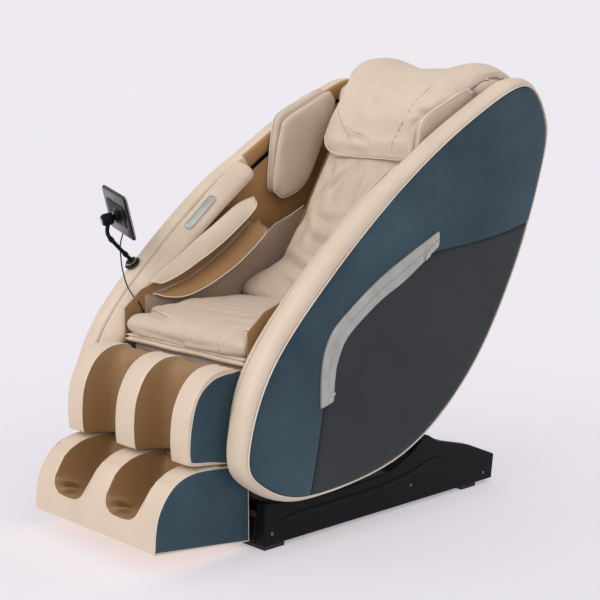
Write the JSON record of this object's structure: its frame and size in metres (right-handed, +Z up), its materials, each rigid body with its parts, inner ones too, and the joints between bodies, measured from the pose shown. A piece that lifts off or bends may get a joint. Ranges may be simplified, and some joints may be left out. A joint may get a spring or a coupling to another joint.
{
  "type": "massage chair",
  "caption": "Full-body reclining massage chair with egg-shaped padded side shells, airbag armrests, head pillow, calf and foot rest, tablet remote and low base.",
  "frame": {"origin": "floor level under the centre of the object's bounding box (tablet included)", "axes": "+Z up, -Y the way the sitter faces, +X to the sitter's left"},
  "size_m": [0.8134, 1.3252, 1.204],
  "materials": {
    "cream_leather": "padded soft synthetic leather",
    "tan_leather": "soft synthetic leather",
    "taupe_leather": "soft synthetic leather",
    "blue_panel": "grained cloth-backed vinyl",
    "grey_panel": "grained cloth-backed vinyl",
    "silver_trim": "metallised satin",
    "black_plastic": "fine texture",
    "gloss_black": "gloss",
    "black_rubber": "matt",
    "steel": "painted"
  },
  "bodies": {
    "base": {"base_cover_left": "black_plastic", "base_cover_right": "black_plastic", "base_front_cover": "black_plastic", "base_rear_deck": "black_plastic", "base_tray": "steel", "front_foot": "black_rubber", "rear_foot": "black_rubber", "control_box": "black_plastic", "air_pump": "black_plastic"},
    "wheel_left": {"transport_wheel_left": "black_rubber"},
    "wheel_right": {"transport_wheel_right": "black_rubber"},
    "switch": {"power_switch": "gloss_black"},
    "sled": {"sled_frame": "steel"},
    "recline_actuator": {"recline_actuator": "steel"},
    "recline_rod": {"recline_rod": "steel"},
    "pillow": {"head_pillow": "cream_leather"},
    "tablet_head": {"tablet": "gloss_black", "tablet_clamp": "gloss_black"},
    "legrest": {"calf_rest": "cream_leather"},
    "legrest_actuator": {"legrest_actuator": "steel"},
    "legrest_rod": {"legrest_rod": "steel"},
    "footrest": {"foot_rest": "cream_leather", "foot_rail_left": "steel", "foot_rail_right": "steel"},
    "foot_roller_left": {"foot_roller_left": "black_rubber"},
    "foot_roller_right": {"foot_roller_right": "black_rubber"},
    "massage_carriage": {"massage_carriage": "steel"},
    "rollers_low": {"kneading_rollers_low": "black_rubber"},
    "rollers_high": {"kneading_rollers_high": "black_rubber"},
    "pod": {"arm_airbag_lower_left": "tan_leather", "arm_airbag_lower_right": "tan_leather", "arm_airbag_upper_left": "cream_leather", "arm_airbag_upper_right": "cream_leather", "arm_panel_left": "cream_leather", "arm_panel_right": "cream_leather", "arm_wall_left": "taupe_leather", "arm_wall_right": "taupe_leather", "back_cover": "black_plastic", "back_frame": "steel", "back_lining": "tan_leather", "back_pad": "cream_leather", "cable_gland": "gloss_black", "legrest_shaft": "steel", "lower_panel_left": "grey_panel", "lower_panel_right": "grey_panel", "pivot_shaft": "steel", "rim_left": "cream_leather", "rim_right": "cream_leather", "seat_cushion": "cream_leather", "seat_frame": "steel", "shoulder_airbag_left": "taupe_leather", "shoulder_airbag_right": "taupe_leather", "side_lining_left": "tan_leather", "side_lining_right": "tan_leather", "side_trim_left": "silver_trim", "side_trim_right": "silver_trim", "tablet_cable": "gloss_black", "tablet_neck": "gloss_black", "upper_panel_left": "blue_panel", "upper_panel_right": "blue_panel"}
  },
  "joints": [
    {"name": "recline", "type": "hinge", "parent": "sled", "child": "pod", "pos_m": [0.03025, -0.01264, 0.3], "axis": [-1, 0, 0], "range_deg": [0, 22]},
    {"name": "sled_slide", "type": "slide", "parent": "base", "child": "sled", "axis": [0, -1, 0], "range_m": [0, 0.12]},
    {"name": "recline_actuator_swing", "type": "hinge", "parent": "sled", "child": "recline_actuator", "pos_m": [0.03025, -0.23264, 0.118], "axis": [1, 0, 0], "range_deg": [-3.84, 0]},
    {"name": "recline_rod_slide", "type": "slide", "parent": "recline_actuator", "child": "recline_rod", "axis": [0, 0.9344, 0.3562], "range_m": [-0.03891, 0]},
    {"name": "legrest_lift", "type": "hinge", "parent": "pod", "child": "legrest", "pos_m": [0.03025, -0.39764, 0.44], "axis": [-1, 0, 0], "range_deg": [0, 75]},
    {"name": "foot_extend", "type": "slide", "parent": "legrest", "child": "footrest", "axis": [0, -0.1126, -0.9936], "range_m": [0, 0.11]},
    {"name": "legrest_actuator_swing", "type": "hinge", "parent": "pod", "child": "legrest_actuator", "pos_m": [0.03025, -0.09264, 0.31], "axis": [1, 0, 0], "range_deg": [-7.84, 0]},
    {"name": "legrest_rod_slide", "type": "slide", "parent": "legrest_actuator", "child": "legrest_rod", "axis": [0, -0.9976, 0.0693], "range_m": [0, 0.12696]},
    {"name": "pillow_flip", "type": "hinge", "parent": "pod", "child": "pillow", "pos_m": [0.03025, 0.63236, 1.168], "axis": [-1, 0, 0], "range_deg": [0, 100]},
    {"name": "tablet_tilt", "type": "hinge", "parent": "pod", "child": "tablet_head", "pos_m": [-0.31505, -0.34644, 0.7786], "axis": [0.9396, -0.3289, -0.095], "range_deg": [-15, 15], "deforming": ["tablet_cable"]},
    {"name": "wheel_spin_left", "type": "hinge", "parent": "base", "child": "wheel_left", "pos_m": [0.26625, 0.50736, 0.029], "axis": [1, 0, 0], "continuous": true},
    {"name": "wheel_spin_right", "type": "hinge", "parent": "base", "child": "wheel_right", "pos_m": [-0.20575, 0.50736, 0.029], "axis": [1, 0, 0], "continuous": true},
    {"name": "power_rocker", "type": "hinge", "parent": "base", "child": "switch", "pos_m": [0.16225, 0.48186, 0.035], "axis": [1, 0, 0], "range_deg": [0, 16]},
    {"name": "foot_roller_spin_left", "type": "hinge", "parent": "footrest", "child": "foot_roller_left", "pos_m": [0.13875, -0.54264, 0.086], "axis": [1, 0, 0], "continuous": true},
    {"name": "foot_roller_spin_right", "type": "hinge", "parent": "footrest", "child": "foot_roller_right", "pos_m": [-0.07825, -0.54264, 0.086], "axis": [1, 0, 0], "continuous": true},
    {"name": "massage_travel", "type": "slide", "parent": "pod", "child": "massage_carriage", "axis": [0, 0.5023, 0.8647], "range_m": [-0.12, 0.18]},
    {"name": "rollers_low_spin", "type": "hinge", "parent": "massage_carriage", "child": "rollers_low", "pos_m": [0.03025, 0.27563, 0.66991], "axis": [1, 0, 0], "continuous": true},
    {"name": "rollers_high_spin", "type": "hinge", "parent": "massage_carriage", "child": "rollers_high", "pos_m": [0.03025, 0.33088, 0.76503], "axis": [1, 0, 0], "continuous": true}
  ],
  "couplings": [
    {"joint": "sled_slide", "follows": "recline", "m_per_rad": 0.31249},
    {"joint": "recline_actuator_swing", "follows": "recline", "ratio": -0.17429},
    {"joint": "recline_rod_slide", "follows": "recline", "m_per_rad": -0.10124},
    {"joint": "foot_extend", "follows": "legrest_lift", "m_per_rad": 0.084025},
    {"joint": "legrest_actuator_swing", "follows": "legrest_lift", "ratio": -0.10447},
    {"joint": "legrest_rod_slide", "follows": "legrest_lift", "m_per_rad": 0.096897}
  ]
}
